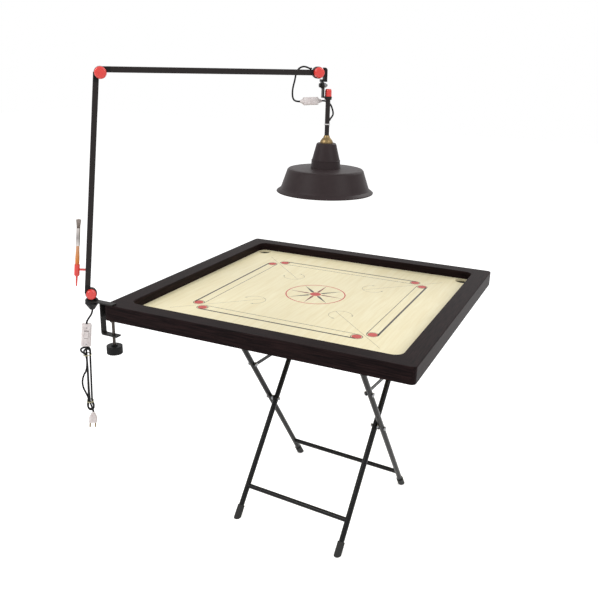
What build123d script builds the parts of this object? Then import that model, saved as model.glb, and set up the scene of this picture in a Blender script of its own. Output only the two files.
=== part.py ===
from build123d import *

import os
from math import cos, hypot, pi, radians, sin, tan

"""Carrom board on a folding X stand, with a clamp-on three-joint lamp, a dusting brush and the lamp's cords.

Millimetres, +Z up. The origin is the centre of the playing surface; the board's sides lie along X and Y.
Left is -X and front is -Y. The stand stands a little turned under the board, and the lamp's post, arm
and hanger lie in one upright plane that runs from the clamp over the middle of the board.
"""

os.makedirs("parts", exist_ok=True)

# Board
BOARD = 838
PLAY = 740
RAIL_TOP = 24
RAIL_HEIGHT = 42
OUTER_CORNER_R = 12
INNER_CORNER_R = 24
REBATE = 6
TONGUE_STEP = 1
PLY = 8
POCKET_D = 44.5
POCKET_AT = 346.5
NET_DEPTH = 31
BATTEN_W = 50
BATTEN_AT = 125

# Stand
FLOOR_Z = -671
STAND_X = 41
STAND_TURN = -4.1
TUBE_R = 8
BAR_R = 7
WALL = 1.2
OUTER_HALF = 189.5
INNER_HALF = 168
OUTER_TOP_Y, OUTER_FOOT_Y = -243, 212
INNER_TOP_Y, INNER_FOOT_Y = 250, -218
OUTER_BAR_Z = -603
INNER_BAR_Z = -592
BRACE_Z = -215
BRACE_T = 3
BRACE_H = 10
SHOE_R = 10.5
SHOE_LENGTH = 30
RUBBER = 5
BOLT_R = 3

# Clamp
LAMP_X, LAMP_Y = -463.4, -409.7
STRAP_W = 18
STRAP_T = 3.5
JAW_Z = -58
SCREW_X = -397
SCREW_R = 4
KNOB_TOP_Z = -89
KNOB_BOTTOM_Z = -110
KNOB_R = 21

# Lamp
LAMP_TURN = 41
TILT_Z = 46
POST_LEAN = 5.9
POST_LENGTH = 555.2
POST_OFFSET = -9.5
ARM_RISE = 0.3
ARM_LENGTH = 545.4
ARM_OFFSET = 7.3
SQUARE = 14
LUG_R = 15
LUG_NECK = 17
LUG_END = 24
TANG = 50
PIVOT_R = 4
GAP = 0.3
FIT = 0.05
HANG_X = 633
SHADE_RIM_R = 131
SHADE_TOP_R = 103.5
SHEET = 1.2

# Cords
SUPPLY_D = 5
LAMP_CORD_D = 4.5


def save(piece, name):
    """Labels a finished piece and writes it as its own STEP file."""
    piece.part.label = name
    export_step(piece.part, f"parts/{name}.step")


# ---------------------------------------------------------------- board: four mitred rails
HALF = BOARD / 2
INNER = PLAY / 2
RAIL_BOTTOM = RAIL_TOP - RAIL_HEIGHT

for name, turn in (("rail_front", 0), ("rail_right", 90), ("rail_back", 180), ("rail_left", 270)):
    base = Plane.XY.rotated((0, 0, turn)).offset(RAIL_BOTTOM)
    with BuildPart() as rail:
        with BuildSketch(base):
            Rectangle(BOARD, BOARD)
            fillet(vertices(), OUTER_CORNER_R)
            with BuildSketch(mode=Mode.SUBTRACT):
                Rectangle(PLAY, PLAY)
                fillet(vertices(), INNER_CORNER_R)
            with BuildSketch(mode=Mode.INTERSECT):
                with BuildLine():
                    Polyline((0, 0), (-BOARD, -BOARD), (BOARD, -BOARD), close=True)
                make_face()
        extrude(amount=RAIL_HEIGHT)
        with BuildSketch(base):
            Rectangle(PLAY + 2 * REBATE, PLAY + 2 * REBATE)
        extrude(amount=-RAIL_BOTTOM - TONGUE_STEP, mode=Mode.SUBTRACT)
        top = rail.edges().group_by(Axis.Z)[-1]
        mitres = top.filter_by(Axis((0, 0, 0), (1, 1, 0))) + top.filter_by(Axis((0, 0, 0), (1, -1, 0)))
        fillet([edge for edge in top if edge not in mitres], 3)
    save(rail, name)

# The plywood's thinned edge sits in the rails' rebate, and there is a pocket hole in each corner.
POCKETS = [(x, y) for x in (-POCKET_AT, POCKET_AT) for y in (-POCKET_AT, POCKET_AT)]
with BuildPart() as playing_surface:
    with BuildSketch(Plane.XY.offset(-PLY)):
        Rectangle(PLAY + 2 * REBATE, PLAY + 2 * REBATE)
    extrude(amount=PLY - TONGUE_STEP)
    with BuildSketch(Plane.XY.offset(-PLY)):
        Rectangle(PLAY, PLAY)
        fillet(vertices(), INNER_CORNER_R)
    extrude(amount=PLY)
    with BuildSketch(Plane.XY.offset(-PLY)):
        with Locations(*POCKETS):
            Circle(POCKET_D / 2)
    extrude(amount=PLY, mode=Mode.SUBTRACT)
save(playing_surface, "playing_surface")

# Two long battens and a short one between them carry the plywood, flush with the rails' underside.
BATTEN_T = -PLY - RAIL_BOTTOM
with BuildPart() as support_battens:
    with BuildSketch(Plane.XY.offset(RAIL_BOTTOM)):
        with Locations((-BATTEN_AT, 0), (BATTEN_AT, 0)):
            Rectangle(BATTEN_W, PLAY + 2 * REBATE)
    extrude(amount=BATTEN_T)
    with BuildSketch(Plane.XY.offset(RAIL_BOTTOM)):
        Rectangle(2 * BATTEN_AT - BATTEN_W, BATTEN_W)
    extrude(amount=BATTEN_T)
    chamfer(support_battens.edges().group_by(Axis.Z)[0].filter_by(Axis.Y), 1.5)
save(support_battens, "support_battens")

# A shallow net pouch under each pocket hangs from a flat rim under the plywood.
with BuildPart() as pocket_nets:
    with BuildSketch(Plane.XZ):
        with BuildLine():
            Polyline((27.5, -PLY), (27.5, -PLY - 1.5), (24, -PLY - 1.5))
            Spline((24, -PLY - 1.5), (21.5, -24), (14, -PLY - NET_DEPTH), tangents=((-0.1, -1), (-1, -0.4)))
            Polyline((14, -PLY - NET_DEPTH), (0, -PLY - NET_DEPTH - 1.2), (0, -PLY - NET_DEPTH + 0.2))
            Line((0, -PLY - NET_DEPTH + 0.2), (13, -PLY - NET_DEPTH + 1.4))
            Spline((13, -PLY - NET_DEPTH + 1.4), (20.1, -23.4), (22.8, -PLY), tangents=((1, 0.4), (0.1, 1)))
            Line((22.8, -PLY), (27.5, -PLY))
        make_face()
    with Locations(*[(x, y, 0) for x, y in POCKETS]):
        pouch = revolve(axis=Axis.Z, mode=Mode.PRIVATE)
        add(pouch)
save(pocket_nets, "pocket_nets")

# ---------------------------------------------------------------- stand: two crossed leg frames
stand = Plane(origin=(STAND_X, 0, 0), x_dir=(cos(radians(STAND_TURN)), sin(radians(STAND_TURN)), 0), z_dir=(0, 0, 1))
TOP_BAR_Z = RAIL_BOTTOM - TUBE_R - GAP


def on_stand(x, y, z):
    """A point given in the stand's own frame."""
    return stand.from_local_coords(Vector(x, y, z))


def leg_y(top_y, foot_y, z):
    """Where a leg's axis is, front to back, at height z."""
    return top_y + (foot_y - top_y) * (RAIL_BOTTOM - z) / (RAIL_BOTTOM - FLOOR_Z)


def rod(start, end, radius, mode=Mode.ADD):
    """A round bar between two points, added to the part being built."""
    with BuildSketch(Plane(origin=start, z_dir=end - start)) as section:
        Circle(radius)
    extrude(section.sketch, amount=(end - start).length, mode=mode)


def cross_rod(x_start, x_end, y, z, radius, mode=Mode.ADD):
    """A round bar along the stand's width, added to the part being built."""
    rod(on_stand(x_start, y, z), on_stand(x_end, y, z), radius, mode)


# The legs cross on the pivot bolts, where both have the same y and z.
OUTER_RUN = OUTER_FOOT_Y - OUTER_TOP_Y
INNER_RUN = INNER_FOOT_Y - INNER_TOP_Y
PIVOT_SHARE = (INNER_TOP_Y - OUTER_TOP_Y) / (OUTER_RUN - INNER_RUN)
PIVOT_Z = RAIL_BOTTOM + PIVOT_SHARE * (FLOOR_Z - RAIL_BOTTOM)
PIVOT_Y = OUTER_TOP_Y + PIVOT_SHARE * OUTER_RUN
BRACE_Y = leg_y(OUTER_TOP_Y, OUTER_FOOT_Y, BRACE_Z)
STUD_R = 4
STUD_Z = BRACE_Z - BRACE_H / 2 - STUD_R - GAP
STUD_Y = leg_y(INNER_TOP_Y, INNER_FOOT_Y, STUD_Z)

FRAMES = {
    "outer": (OUTER_HALF, OUTER_TOP_Y, OUTER_FOOT_Y, OUTER_BAR_Z),
    "inner": (INNER_HALF, INNER_TOP_Y, INNER_FOOT_Y, INNER_BAR_Z),
}
for frame, (half, top_y, foot_y, bar_z) in FRAMES.items():
    top_bar_y = leg_y(top_y, foot_y, TOP_BAR_Z)
    low_bar_y = leg_y(top_y, foot_y, bar_z)
    along = Vector(0, foot_y - top_y, FLOOR_Z - RAIL_BOTTOM).normalized()
    lean = along.get_angle(Vector(0, 0, -1))
    tube_end_z = FLOOR_Z + RUBBER + TUBE_R * sin(radians(lean))
    tube_end_y = leg_y(top_y, foot_y, tube_end_z)

    # Each leg is a tube, coped to the top bar, drilled for the pivot and for the brace bolt or stud.
    for side, sign in (("left", -1), ("right", 1)):
        x = sign * half
        with BuildPart() as leg:
            rod(on_stand(x, top_bar_y, TOP_BAR_Z), on_stand(x, tube_end_y, tube_end_z), TUBE_R)
            rod(on_stand(x, top_bar_y, TOP_BAR_Z), on_stand(x, tube_end_y, tube_end_z), TUBE_R - WALL, Mode.SUBTRACT)
            cross_rod(x - 2 * TUBE_R, x + 2 * TUBE_R, top_bar_y, TOP_BAR_Z, TUBE_R, Mode.SUBTRACT)
            pivot_hole_r = BOLT_R if frame == "outer" else BOLT_R + FIT
            cross_rod(x - 2 * TUBE_R, x + 2 * TUBE_R, PIVOT_Y, PIVOT_Z, pivot_hole_r, Mode.SUBTRACT)
            if frame == "outer":
                cross_rod(x - 2 * TUBE_R, x + 2 * TUBE_R, BRACE_Y, BRACE_Z, BOLT_R, Mode.SUBTRACT)
            else:
                cross_rod(x - 2 * TUBE_R, x + 2 * TUBE_R, STUD_Y, STUD_Z, STUD_R, Mode.SUBTRACT)
        save(leg, f"{frame}_leg_{side}")

    # The top bar lies under the battens, and its open ends are closed with flat plugs.
    with BuildPart() as top_bar:
        cross_rod(-half - TUBE_R, half + TUBE_R, top_bar_y, TOP_BAR_Z, TUBE_R)
        cross_rod(WALL * 2 - half - TUBE_R, half + TUBE_R - WALL * 2, top_bar_y, TOP_BAR_Z, TUBE_R - WALL, Mode.SUBTRACT)
    save(top_bar, f"{frame}_top_bar")

    # The low bar is coped to the legs on both ends.
    with BuildPart() as low_bar:
        cross_rod(-half, half, low_bar_y, bar_z, BAR_R)
        cross_rod(-half, half, low_bar_y, bar_z, BAR_R - WALL, Mode.SUBTRACT)
        for x in (-half, half):
            rod(
                on_stand(x, leg_y(top_y, foot_y, bar_z + 40), bar_z + 40),
                on_stand(x, leg_y(top_y, foot_y, bar_z - 40), bar_z - 40),
                TUBE_R,
                Mode.SUBTRACT,
            )
    save(low_bar, f"{frame}_low_bar")

    # Rubber shoes, cut level where they stand.
    with BuildPart() as shoes:
        for x in (-half, half):
            start = on_stand(x, leg_y(top_y, foot_y, FLOOR_Z + SHOE_LENGTH), FLOOR_Z + SHOE_LENGTH)
            foot = on_stand(x, leg_y(top_y, foot_y, FLOOR_Z - SHOE_R), FLOOR_Z - SHOE_R)
            rod(start, foot, SHOE_R)
            rod(start, on_stand(x, tube_end_y, tube_end_z), TUBE_R, Mode.SUBTRACT)
        split(bisect_by=Plane.XY.offset(FLOOR_Z), keep=Keep.TOP)
    save(shoes, f"{frame}_shoes")

# Pivot and brace bolts go through the outer legs from outside, each with its nut inside.
OUTSIDE = OUTER_HALF + TUBE_R
BETWEEN_IN = INNER_HALF + TUBE_R
BETWEEN_OUT = OUTER_HALF - TUBE_R
BRACE_AT = (BETWEEN_IN + BETWEEN_OUT) / 2
HEAD_T = 4
NUT_R = 5.5
with BuildPart() as stand_bolts:
    for sign in (-1, 1):
        for y, z, nut_face in (
            (PIVOT_Y, PIVOT_Z, INNER_HALF - TUBE_R - GAP),
            (BRACE_Y, BRACE_Z, BRACE_AT - BRACE_T / 2 - GAP),
        ):
            tip = nut_face - HEAD_T
            cross_rod(sign * tip, sign * OUTSIDE, y, z, BOLT_R)
            cross_rod(sign * OUTSIDE, sign * (OUTSIDE + HEAD_T - 1), y, z, NUT_R + 0.5)
            with BuildSketch(Plane(origin=on_stand(sign * tip, y, z), x_dir=(0, 0, 1), z_dir=stand.x_dir * sign)):
                RegularPolygon(NUT_R, 6)
            extrude(amount=HEAD_T)
save(stand_bolts, "stand_bolts")

# Flat washers keep the two frames apart on the pivot bolts.
with BuildPart() as pivot_washers:
    for sign in (-1, 1):
        cross_rod(sign * (BETWEEN_IN + GAP), sign * BETWEEN_OUT, PIVOT_Y, PIVOT_Z, 8)
        cross_rod(sign * (BETWEEN_IN + GAP), sign * BETWEEN_OUT, PIVOT_Y, PIVOT_Z, BOLT_R, Mode.SUBTRACT)
save(pivot_washers, "pivot_washers")

with BuildPart() as brace_studs:
    for sign in (-1, 1):
        inside = sign * (INNER_HALF - TUBE_R)
        cross_rod(inside, sign * (BETWEEN_OUT - GAP), STUD_Y, STUD_Z, STUD_R)
        cross_rod(inside - sign * 2, inside, STUD_Y, STUD_Z, STUD_R + 2)
save(brace_studs, "brace_studs")

# Each brace swings on its bolt, lies over the stud on the other leg and hooks down behind it.
HOOK_Y = STUD_Y + STUD_R + GAP
for side, sign in (("left", -1), ("right", 1)):
    near = Plane(
        origin=on_stand(sign * BRACE_AT - BRACE_T / 2, 0, 0), x_dir=stand.y_dir, z_dir=stand.x_dir
    )
    with BuildPart() as brace:
        with BuildSketch(near):
            with BuildLine():
                Polyline(
                    (BRACE_Y, BRACE_Z + BRACE_H / 2),
                    (HOOK_Y + 10, BRACE_Z + BRACE_H / 2),
                    (HOOK_Y + 10, BRACE_Z - BRACE_H / 2 - 8),
                    (HOOK_Y, BRACE_Z - BRACE_H / 2 - 8),
                    (HOOK_Y, BRACE_Z - BRACE_H / 2),
                    (BRACE_Y, BRACE_Z - BRACE_H / 2),
                    close=True,
                )
            make_face()
            with Locations((BRACE_Y, BRACE_Z)):
                Circle(7)
                Circle(BOLT_R + FIT, mode=Mode.SUBTRACT)
        extrude(amount=BRACE_T)
    save(brace, f"brace_{side}")

# ---------------------------------------------------------------- clamp on the front end of the left rail
WEB_X = -HALF - 8.5 - STRAP_T
PLATE_END_X = -390
JAW_END_X = -381
JAW_T = 4
EYE_R = 17
STEM_R = 7
with BuildPart() as clamp_bracket:
    with BuildSketch(Plane.XY.offset(RAIL_TOP)):
        with Locations((LAMP_X, LAMP_Y)):
            Circle(EYE_R)
            Rectangle(PLATE_END_X - LAMP_X, STRAP_W, align=(Align.MIN, Align.CENTER))
            Circle(STEM_R + FIT, mode=Mode.SUBTRACT)
    extrude(amount=STRAP_T)
    with BuildSketch(Plane.XZ.offset(-LAMP_Y - STRAP_W / 2)):
        with BuildLine():
            Polyline(
                (WEB_X, RAIL_TOP),
                (WEB_X, JAW_Z - JAW_T),
                (JAW_END_X, JAW_Z - JAW_T),
                (JAW_END_X, JAW_Z),
                (WEB_X + STRAP_T, JAW_Z),
                (WEB_X + STRAP_T, RAIL_TOP),
                close=True,
            )
        make_face()
    extrude(amount=STRAP_W)
    bend = clamp_bracket.edges().filter_by(Axis.Y).filter_by_position(Axis.X, WEB_X - 1, WEB_X + STRAP_T + 1)
    outer_bend = bend.sort_by(Axis.Z)[0]
    fillet(outer_bend, 6)
    inner_bend = clamp_bracket.edges().filter_by(Axis.Y).filter_by_position(Axis.Z, JAW_Z - 0.1, JAW_Z + 0.1)
    fillet(inner_bend.sort_by(Axis.X)[0], 3)
    with BuildSketch(Plane((SCREW_X, LAMP_Y, JAW_Z))):
        Circle(SCREW_R + FIT)
    extrude(amount=-JAW_T, mode=Mode.SUBTRACT)
save(clamp_bracket, "clamp_bracket")

# The gland under the bracket's eye holds the supply cord.
GLAND_BOTTOM_Z = 2
CORD_R = SUPPLY_D / 2
with BuildPart() as cord_gland:
    with BuildSketch(Plane.XZ):
        Polygon((CORD_R, RAIL_TOP), (15, RAIL_TOP), (17.5, RAIL_TOP - 3), (17.5, RAIL_TOP - 6), (8, 4), (7, GLAND_BOTTOM_Z),
                (CORD_R, GLAND_BOTTOM_Z), align=None)
    revolve(axis=Axis.Z)
cord_gland.part.position = (LAMP_X, LAMP_Y, 0)
save(cord_gland, "cord_gland")

# The clamp screw turns in the jaw, carries a swivel pad on top and a knob below.
PAD_R = 8
PAD_T = 4
SOCKET_DEPTH = 2
SCREW_TOP_Z = RAIL_BOTTOM - GAP - PAD_T + SOCKET_DEPTH - GAP
with BuildPart() as clamp_pad:
    with BuildSketch(Plane((SCREW_X, LAMP_Y, RAIL_BOTTOM - GAP))):
        Circle(PAD_R)
    extrude(amount=-PAD_T)
    fillet(clamp_pad.edges().group_by(Axis.Z)[0], 1)
    with BuildSketch(Plane((SCREW_X, LAMP_Y, RAIL_BOTTOM - GAP - PAD_T))):
        Circle(SCREW_R + FIT)
    extrude(amount=SOCKET_DEPTH, mode=Mode.SUBTRACT)
save(clamp_pad, "clamp_pad")

with BuildPart() as clamp_screw:
    with BuildSketch(Plane((SCREW_X, LAMP_Y, SCREW_TOP_Z))):
        Circle(SCREW_R)
    extrude(amount=KNOB_BOTTOM_Z + 8 - SCREW_TOP_Z)
save(clamp_screw, "clamp_screw")

FLUTES = 24
with BuildPart() as clamp_knob:
    with BuildSketch(Plane((SCREW_X, LAMP_Y, KNOB_BOTTOM_Z))):
        Circle(KNOB_R)
        with PolarLocations(KNOB_R + 0.6, FLUTES):
            Circle(1.7, mode=Mode.SUBTRACT)
    extrude(amount=KNOB_TOP_Z - KNOB_BOTTOM_Z, taper=0)
    with BuildSketch(Plane((SCREW_X, LAMP_Y, KNOB_TOP_Z))):
        Circle(8)
    extrude(amount=3)
    with BuildSketch(Plane((SCREW_X, LAMP_Y, KNOB_BOTTOM_Z + 8))):
        Circle(SCREW_R)
    extrude(amount=KNOB_TOP_Z + 3 - KNOB_BOTTOM_Z, mode=Mode.SUBTRACT)
save(clamp_knob, "clamp_knob")

# ---------------------------------------------------------------- lamp: its upright plane
lamp = Plane(
    origin=(LAMP_X, LAMP_Y, 0),
    x_dir=(cos(radians(LAMP_TURN)), sin(radians(LAMP_TURN)), 0),
    z_dir=(sin(radians(LAMP_TURN)), -cos(radians(LAMP_TURN)), 0),
)


def tilted(origin, angle):
    """A frame in the lamp's upright plane whose y axis is turned by angle from upright towards the board."""
    x_dir = lamp.x_dir * cos(radians(angle)) - Vector(0, 0, sin(radians(angle)))
    return Plane(origin=origin, x_dir=x_dir, z_dir=lamp.z_dir)


post = tilted(lamp.from_local_coords(Vector(0, TILT_Z, 0)), POST_LEAN)
elbow_point = post.from_local_coords(Vector(0, POST_LENGTH, 0))
arm = tilted(elbow_point, -ARM_RISE)
HALF_SQ = SQUARE / 2
PLUG_SQ = SQUARE - 2 * WALL


def box_on(frame, x0, x1, y0, y1, z0, z1, mode=Mode.ADD):
    """A block between two corners of a frame, added to the part being built."""
    with BuildSketch(frame.offset(z0)) as section:
        with Locations(((x0 + x1) / 2, (y0 + y1) / 2)):
            Rectangle(abs(x1 - x0), abs(y1 - y0))
    extrude(section.sketch, amount=z1 - z0, mode=mode)


def disc_on(frame, x, y, radius, z0, z1, mode=Mode.ADD):
    """A disc square to a frame's z axis, added to the part being built."""
    with BuildSketch(frame.offset(z0)) as section:
        with Locations((x, y)):
            Circle(radius)
    extrude(section.sketch, amount=z1 - z0, mode=mode)


def lug_on(frame, along, pivot, tube_axis, direction, near):
    """An end lug: a half-thick pivot disc, a full-thick shoulder and a tang that fills the square tube.

    along is "x" or "y", the tube's own direction in frame; pivot is the disc's centre; tube_axis is where
    the tube's axis lies across it; direction is +1 where the tube goes on from the pivot along that axis;
    near is +1 if the disc is the half nearer the knob.
    """
    cx, cy = pivot
    z0, z1 = (GAP, HALF_SQ) if near > 0 else (-HALF_SQ, -GAP)

    def block(start, end, half, low, high):
        a, b = sorted((start * direction, end * direction))
        if along == "x":
            box_on(frame, cx + a, cx + b, tube_axis - half, tube_axis + half, low, high)
        else:
            box_on(frame, tube_axis - half, tube_axis + half, cy + a, cy + b, low, high)

    disc_on(frame, cx, cy, LUG_R, z0, z1)
    block(0, LUG_NECK, HALF_SQ, z0, z1)
    block(LUG_NECK, LUG_END, HALF_SQ, -HALF_SQ, HALF_SQ)
    block(LUG_END, TANG, PLUG_SQ / 2, -PLUG_SQ / 2, PLUG_SQ / 2)


def square_tube(frame, along, start, end, axis):
    """A square tube along a frame's x or y axis, added to the part being built."""
    for half, mode in ((HALF_SQ, Mode.ADD), (PLUG_SQ / 2, Mode.SUBTRACT)):
        if along == "x":
            box_on(frame, start, end, axis - half, axis + half, -half, half, mode)
        else:
            box_on(frame, axis - half, axis + half, start, end, -half, half, mode)


# The turret turns on the bracket's eye and carries the post's tilt bolt.
PLATE_TOP_Z = RAIL_TOP + STRAP_T
BOLT_REACH = 18
CORD_BORE_R = 3
eye = Plane(origin=(LAMP_X, LAMP_Y, PLATE_TOP_Z + GAP), x_dir=lamp.x_dir, z_dir=(0, 0, 1))
with BuildPart() as lamp_turret:
    disc_on(eye, 0, 0, EYE_R - 1, 0, 2.2)
    disc_on(eye, 0, 0, STEM_R, 0, -STRAP_T - GAP + 0.2)
    disc_on(lamp, 0, TILT_Z, LUG_R - 0.5, -HALF_SQ, -GAP)
    box_on(lamp, -12, 12, PLATE_TOP_Z + 1, TILT_Z, -HALF_SQ, -GAP)
    disc_on(eye, 0, 0, CORD_BORE_R, 2.2, -STRAP_T, Mode.SUBTRACT)
    disc_on(lamp, 0, TILT_Z, PIVOT_R, -GAP, BOLT_REACH)
save(lamp_turret, "lamp_turret")

with BuildPart() as post_lugs:
    lug_on(post, "y", (0, 0), POST_OFFSET, 1, near=1)
    disc_on(post, 0, 0, PIVOT_R + FIT, 0, HALF_SQ, Mode.SUBTRACT)
    lug_on(post, "y", (0, POST_LENGTH), POST_OFFSET, -1, near=-1)
    disc_on(post, 0, POST_LENGTH, PIVOT_R, -GAP, BOLT_REACH)
save(post_lugs, "post_lugs")

with BuildPart() as post_tube:
    square_tube(post, "y", LUG_END, POST_LENGTH - LUG_END, POST_OFFSET)
save(post_tube, "post_tube")

# The lamp's cord comes out of an angled outlet on top of the arm's end lug.
CORD_START = (582, 617.6)
CORD_NEXT = (570.5, 623.6)
OUTLET_T = 4
outlet_end = lamp.from_local_coords(Vector(*CORD_START, -2))
outlet_dir = (lamp.from_local_coords(Vector(*CORD_NEXT, -5)) - outlet_end).normalized()
outlet = outlet_end - outlet_dir * OUTLET_T
with BuildPart() as arm_lugs:
    lug_on(arm, "x", (0, 0), ARM_OFFSET, 1, near=1)
    disc_on(arm, 0, 0, PIVOT_R + FIT, 0, HALF_SQ, Mode.SUBTRACT)
    lug_on(arm, "x", (ARM_LENGTH, ARM_OFFSET), ARM_OFFSET, -1, near=1)
    with BuildSketch(Plane(origin=outlet, z_dir=outlet_dir)):
        Circle(4)
    extrude(amount=OUTLET_T)
    disc_on(arm, ARM_LENGTH, ARM_OFFSET, PIVOT_R + FIT, 0, HALF_SQ, Mode.SUBTRACT)
save(arm_lugs, "arm_lugs")

with BuildPart() as arm_tube:
    square_tube(arm, "x", LUG_END, ARM_LENGTH - LUG_END, ARM_OFFSET)
save(arm_tube, "arm_tube")

# Red knobs clamp the three tilting joints.
hang = Plane(origin=arm.from_local_coords(Vector(ARM_LENGTH, ARM_OFFSET, 0)), x_dir=lamp.x_dir, z_dir=lamp.z_dir)
KNOB_T = 13
for name, frame, radius in (
    ("tilt_knob", post, 13),
    ("elbow_knob", tilted(elbow_point, 0), 14.5),
    ("end_knob", hang, 13.5),
):
    with BuildPart() as knob:
        disc_on(frame, 0, 0, radius, HALF_SQ + GAP, HALF_SQ + GAP + KNOB_T)
        fillet(knob.edges().sort_by(Axis(frame.origin, frame.z_dir))[-1], 5)
        disc_on(frame, 0, 0, PIVOT_R + FIT, HALF_SQ + GAP, BOLT_REACH + GAP, Mode.SUBTRACT)
    save(knob, name)

# ---------------------------------------------------------------- lamp: swivel link and hanger
# The link turns on the arm's end bolt. Its red head carries a strap with a cross bolt, and the hanger's own
# strap swings on that bolt.
HEAD_HALF = 8
CROSS_Z = 577
tip_s, tip_z, tip_t = lamp.to_local_coords(hang.origin)
STRAP_S = 612.5
LINK_STRAP_T = 3.5
HANGER_S = 616.3
NUT_S = HANGER_S + LINK_STRAP_T + GAP
CROSS_R = 3
with BuildPart() as link_head:
    disc_on(hang, 0, 0, LUG_R, -HALF_SQ, -GAP)
    box_on(hang, 0, 18, -10, 10, -HALF_SQ, -GAP)
    box_on(hang, 15.9, 24, -22.5, 13, -HEAD_HALF, HEAD_HALF)
    box_on(hang, 8, 24, -22.5, -16.5, -HEAD_HALF, HEAD_HALF)
    corners = link_head.edges().filter_by(Axis(hang.origin, hang.z_dir)).sort_by(Axis.Z)[-1]
    fillet(corners, 7)
    disc_on(hang, 0, 0, PIVOT_R, -GAP, BOLT_REACH)
save(link_head, "link_head")

across = Plane(origin=lamp.from_local_coords(Vector(0, CROSS_Z, 0)), x_dir=-lamp.z_dir, z_dir=lamp.x_dir)


def cross_disc(radius, s0, s1, mode=Mode.ADD):
    """A disc on the cross bolt's axis, between two places along it."""
    disc_on(across, 0, 0, radius, s0, s1, mode)


with BuildPart() as link_strap:
    box_on(lamp, STRAP_S, STRAP_S + LINK_STRAP_T, CROSS_Z, tip_z - 22.5, -HEAD_HALF, HEAD_HALF)
    cross_disc(HEAD_HALF, STRAP_S, STRAP_S + LINK_STRAP_T)
    cross_disc(CROSS_R + FIT, STRAP_S, STRAP_S + LINK_STRAP_T, Mode.SUBTRACT)
save(link_strap, "link_strap")

with BuildPart() as link_bolt:
    cross_disc(CROSS_R, STRAP_S, 629)
    with BuildSketch(across.offset(STRAP_S - 5)):
        RegularPolygon(radius=6, side_count=6)
    extrude(amount=5)
save(link_bolt, "link_bolt")

with BuildPart() as thumb_nut:
    with BuildSketch(across.offset(NUT_S)):
        RegularPolygon(radius=6.4, side_count=6)
    extrude(amount=5.5)
    cross_disc(CROSS_R + FIT, NUT_S, NUT_S + 5.5, Mode.SUBTRACT)
save(thumb_nut, "thumb_nut")

# The hanger strap is bent out under the link into a foot with an eye for the shade's rod.
FOOT_Z = 545.5
FOOT_T = 3.5
with BuildPart() as hanger_strap:
    box_on(lamp, HANGER_S, HANGER_S + LINK_STRAP_T, FOOT_Z, CROSS_Z, -HEAD_HALF, HEAD_HALF)
    cross_disc(HEAD_HALF, HANGER_S, HANGER_S + LINK_STRAP_T)
    cross_disc(CROSS_R + FIT, HANGER_S, HANGER_S + LINK_STRAP_T, Mode.SUBTRACT)
    box_on(lamp, HANGER_S, HANG_X, FOOT_Z, FOOT_Z + FOOT_T, -HEAD_HALF, HEAD_HALF)
    with BuildSketch(Plane(lamp.from_local_coords(Vector(HANG_X, FOOT_Z, 0)))):
        Circle(10)
    extrude(amount=FOOT_T)
    with BuildSketch(Plane(lamp.from_local_coords(Vector(HANG_X, FOOT_Z, 0)))):
        Circle(5)
    extrude(amount=FOOT_T, mode=Mode.SUBTRACT)
save(hanger_strap, "hanger_strap")

# Everything below turns round the shade's axis.
shade_axis = lamp.from_local_coords(Vector(HANG_X, 0, 0))
ROD_R = 6.25
TIP_R = 4.9
CAP_TOP_Z = 449
CAP_BOTTOM_Z = 429
TIE_Z = 492
entry = lamp.from_local_coords(Vector(HANG_X, TIE_Z - 8, 0))
entry_dir = lamp.x_dir * cos(radians(45)) + Vector(0, 0, sin(radians(45)))
with BuildPart() as hanger_rod:
    with BuildSketch(Plane.XZ):
        Polygon((0, CAP_TOP_Z), (ROD_R, CAP_TOP_Z), (ROD_R, 541), (9.5, 541), (9.5, FOOT_Z), (TIP_R, FOOT_Z),
                (TIP_R, 562), (0, 562), align=None)
    revolve(axis=Axis.Z)
hanger_rod.part.position = shade_axis
hanger_rod.part.label = "hanger_rod"
with BuildPart() as rod_with_boss:
    add(hanger_rod.part)
    with BuildSketch(Plane(origin=entry, z_dir=entry_dir)):
        Circle(3.4)
    extrude(amount=11)
save(rod_with_boss, "hanger_rod")


def turned(points, name):
    """A part turned round the shade's axis from its half section of radius and height."""
    with BuildPart() as piece:
        with BuildSketch(Plane.XZ):
            with BuildLine():
                Polyline(*points, close=True)
            make_face()
        revolve(axis=Axis.Z)
    piece.part.position = shade_axis
    save(piece, name)


turned([(TIP_R + 0.1, 549.3), (8.8, 549.3), (8.8, 564), (7, 568), (TIP_R + 0.1, 568)], "cap_nut")
turned(
    [
        (3, CAP_TOP_Z), (ROD_R + 1, CAP_TOP_Z), (9, 444), (15, 437), (17.5, 432), (17.5, CAP_BOTTOM_Z),
        (16.3, CAP_BOTTOM_Z), (16.3, 431.6), (14, 436.4), (7.8, 442.8), (6, CAP_TOP_Z - SHEET), (3, CAP_TOP_Z - SHEET),
    ],
    "brass_cap",
)

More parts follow.
